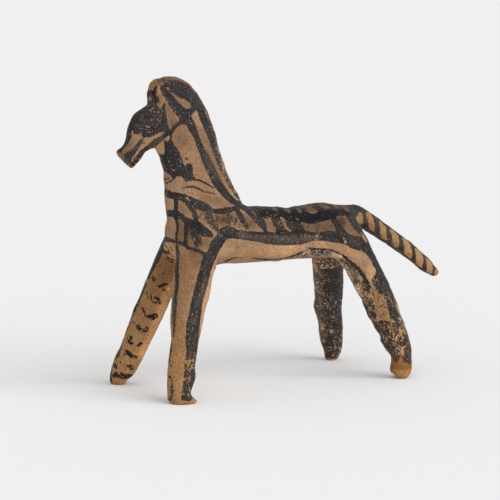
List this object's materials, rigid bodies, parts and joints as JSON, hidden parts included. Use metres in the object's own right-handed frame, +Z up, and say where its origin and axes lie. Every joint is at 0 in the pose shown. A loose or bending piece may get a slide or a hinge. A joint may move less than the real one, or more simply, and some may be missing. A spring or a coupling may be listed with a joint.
{
  "type": "geometric period horse figurine",
  "caption": "Small hand-modelled clay horse with a tall crested neck, tube-like muzzle, rolled limbs and a hanging tail, painted in dark slip.",
  "frame": {"origin": "middle of the bounding box, in the plane the feet stand on", "axes": "-X the way the horse looks, -Y its left side, +Z up"},
  "size_m": [0.1768, 0.0688, 0.1445],
  "materials": {
    "painted_clay": "matt light brown fired clay, about half covered by worn brown-black slip paint"
  },
  "bodies": {
    "root": {"horse": "painted_clay"}
  },
  "joints": []
}
